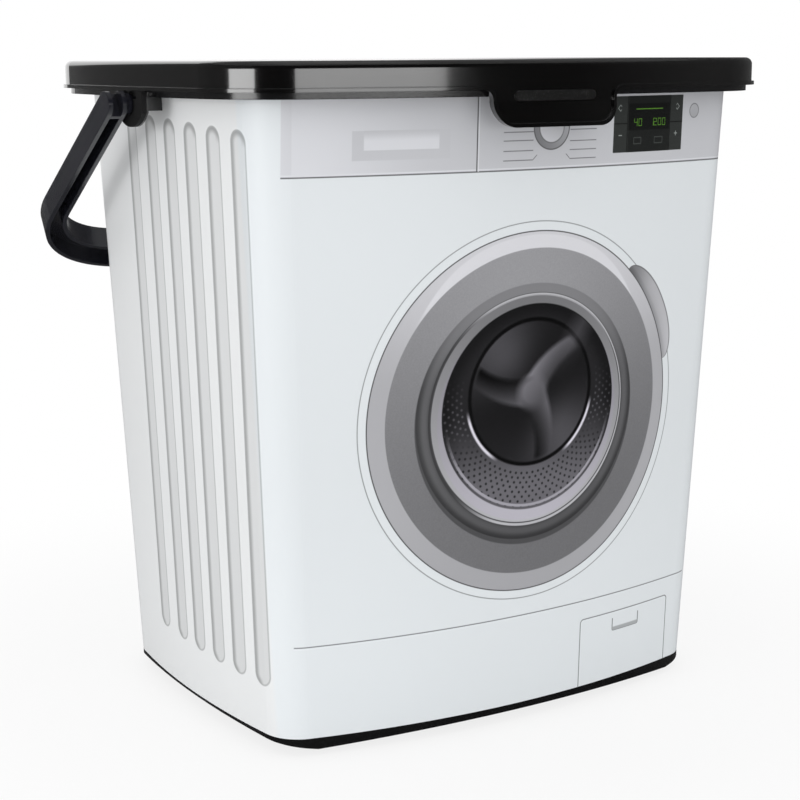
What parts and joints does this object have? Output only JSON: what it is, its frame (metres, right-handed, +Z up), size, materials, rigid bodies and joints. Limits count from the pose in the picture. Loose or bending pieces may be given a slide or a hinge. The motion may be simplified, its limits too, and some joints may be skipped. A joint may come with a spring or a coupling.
{
  "type": "detergent storage box",
  "caption": "Tapered plastic storage box for washing powder with a lift-off lid, front pull tab, swinging bail handle and a wrap printed as a front-loading washing machine.",
  "frame": {"origin": "on the surface that the box stands on, under the middle of the tub", "axes": "+Z up, -Y towards the front with the pull tab, +X to the right as seen from the front"},
  "size_m": [0.303, 0.2425, 0.2893],
  "materials": {
    "tub_plastic": "satin black moulding",
    "label_film": "printed film moulded in flush, satin gloss",
    "lid_plastic": "glossy black moulding",
    "handle_plastic": "satin black moulding"
  },
  "bodies": {
    "box": {"tub": "tub_plastic", "wrap_label": "label_film"},
    "lid": {"lid": "lid_plastic"},
    "handle": {"handle": "handle_plastic"}
  },
  "joints": [
    {"name": "handle_swing", "type": "hinge", "parent": "box", "child": "handle", "pos_m": [0, -0.0074, 0.2719], "axis": [1, 0, 0], "range_deg": [0, 253]},
    {"name": "lid_lift", "type": "slide", "parent": "box", "child": "lid", "axis": [0, 0, 1], "range_m": [0, 0.06]}
  ]
}
